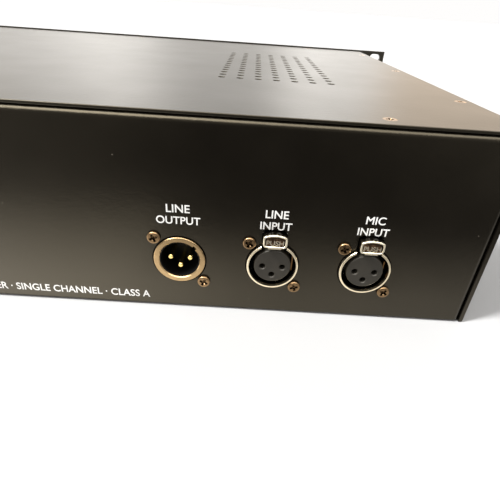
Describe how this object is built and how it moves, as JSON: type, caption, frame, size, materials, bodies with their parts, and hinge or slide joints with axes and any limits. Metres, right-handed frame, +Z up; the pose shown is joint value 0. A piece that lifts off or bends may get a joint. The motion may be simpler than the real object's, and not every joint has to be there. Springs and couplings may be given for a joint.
{
  "type": "microphone preamp",
  "caption": "Rack-mount valve microphone preamp: a low black steel box with rotary controls on the front panel and three-pin audio connectors and a mains inlet at the rear.",
  "frame": {"origin": "middle of the underside of the whole part's bounding box", "axes": "+X to the right of someone facing the front panel, +Y towards the rear connectors, +Z up"},
  "size_m": [0.4826, 0.3368, 0.0881],
  "materials": {
    "powder_coat": "satin, finely textured",
    "cover_coat": "satin, finely textured",
    "front_paint": "satin",
    "zinc_steel": "plated",
    "bronze_screw": "bronze-coloured plating",
    "nickel": "satin nickel",
    "latch_metal": "satin nickel",
    "insert_plastic": "matt",
    "gold": "gold plated",
    "knob_plastic": "polished",
    "chrome": "polished",
    "switch_plastic": "matt",
    "black_plastic": "matt",
    "jewel": "faceted",
    "board_green": "solder resist",
    "ceramic": "unglazed",
    "glass": "clear",
    "winding_tape": "wrapped tape",
    "can_steel": "satin",
    "aluminium": "as extruded",
    "capacitor_sleeve": "sleeved",
    "wire_red": "insulation",
    "wire_white": "insulation",
    "spring_steel": "bright"
  },
  "bodies": {
    "chassis": {"audio_transformers": "can_steel", "audio_wiring": "wire_red", "board_standoffs": "zinc_steel", "bushing_nuts": "nickel", "chassis_screws": "bronze_screw", "chassis_tray": "powder_coat", "connector_screws": "bronze_screw", "cover_screws": "bronze_screw", "filter_capacitors": "capacitor_sleeve", "front_panel": "front_paint", "front_subpanel": "zinc_steel", "gain_switch": "zinc_steel", "input_contacts": "gold", "input_switch": "zinc_steel", "instrument_jack": "nickel", "latch_pins": "spring_steel", "latch_springs": "spring_steel", "level_potentiometer": "zinc_steel", "line_input_insert": "insert_plastic", "line_input_shell": "nickel", "line_output_insert": "insert_plastic", "line_output_pins": "gold", "line_output_shell": "nickel", "main_board": "board_green", "mains_inlet": "black_plastic", "mains_inlet_blades": "nickel", "mains_screws": "bronze_screw", "mains_wiring": "wire_white", "mic_input_insert": "insert_plastic", "mic_input_shell": "nickel", "phantom_switch_body": "switch_plastic", "pilot_bezel": "chrome", "pilot_lens": "jewel", "polarity_switch_body": "switch_plastic", "power_switch_body": "switch_plastic", "power_transformer": "winding_tape", "rear_panel": "powder_coat", "regulator_heat_sink": "aluminium", "tone_potentiometers": "zinc_steel", "top_cover": "cover_coat", "transformer_clamp": "zinc_steel", "valve_sockets": "ceramic", "valves": "glass"},
    "line_input_latch": {"line_input_latch": "latch_metal"},
    "mic_input_latch": {"mic_input_latch": "latch_metal"},
    "input_control": {"input_knob": "knob_plastic", "input_shaft": "zinc_steel"},
    "gain_control": {"gain_knob": "knob_plastic", "gain_shaft": "zinc_steel"},
    "level_control": {"level_knob": "knob_plastic", "level_shaft": "zinc_steel"},
    "low_control": {"low_knob": "knob_plastic", "low_shaft": "zinc_steel"},
    "high_control": {"high_knob": "knob_plastic", "high_shaft": "zinc_steel"},
    "phantom_lever": {"phantom_switch_lever": "chrome"},
    "polarity_lever": {"polarity_switch_lever": "chrome"},
    "power_lever": {"power_switch_lever": "chrome"},
    "fuse_drawer": {"fuse_drawer": "black_plastic", "mains_fuses": "glass"}
  },
  "joints": [
    {"name": "line_input_latch_push", "type": "hinge", "parent": "chassis", "child": "line_input_latch", "pos_m": [-0.1252, 0.1622, 0.0398], "axis": [-1, 0, 0], "range_deg": [0, 8], "stiffness_Nm_per_rad": 0.15, "springref_deg": -8.02},
    {"name": "mic_input_latch_push", "type": "hinge", "parent": "chassis", "child": "mic_input_latch", "pos_m": [-0.1649, 0.1622, 0.0398], "axis": [-1, 0, 0], "range_deg": [0, 8], "stiffness_Nm_per_rad": 0.15, "springref_deg": -8.02},
    {"name": "input_turn", "type": "hinge", "parent": "chassis", "child": "input_control", "pos_m": [-0.108, -0.1444, 0.043], "axis": [0, 1, 0], "range_deg": [-60, 60]},
    {"name": "gain_turn", "type": "hinge", "parent": "chassis", "child": "gain_control", "pos_m": [-0.038, -0.1444, 0.043], "axis": [0, 1, 0], "range_deg": [-60, 60]},
    {"name": "level_turn", "type": "hinge", "parent": "chassis", "child": "level_control", "pos_m": [0.038, -0.1444, 0.044], "axis": [0, 1, 0], "range_deg": [-150, 150]},
    {"name": "low_turn", "type": "hinge", "parent": "chassis", "child": "low_control", "pos_m": [0.108, -0.1444, 0.043], "axis": [0, 1, 0], "range_deg": [-150, 150]},
    {"name": "high_turn", "type": "hinge", "parent": "chassis", "child": "high_control", "pos_m": [0.158, -0.1444, 0.043], "axis": [0, 1, 0], "range_deg": [-150, 150]},
    {"name": "phantom_flip", "type": "hinge", "parent": "chassis", "child": "phantom_lever", "pos_m": [-0.162, -0.1464, 0.06], "axis": [-1, 0, 0], "range_deg": [0, 24]},
    {"name": "polarity_flip", "type": "hinge", "parent": "chassis", "child": "polarity_lever", "pos_m": [-0.162, -0.1464, 0.026], "axis": [-1, 0, 0], "range_deg": [0, 24]},
    {"name": "power_flip", "type": "hinge", "parent": "chassis", "child": "power_lever", "pos_m": [0.197, -0.1472, 0.029], "axis": [-1, 0, 0], "range_deg": [0, 24]},
    {"name": "fuse_drawer_slide", "type": "slide", "parent": "chassis", "child": "fuse_drawer", "axis": [0, 1, 0], "range_m": [0, 0.02]}
  ]
}
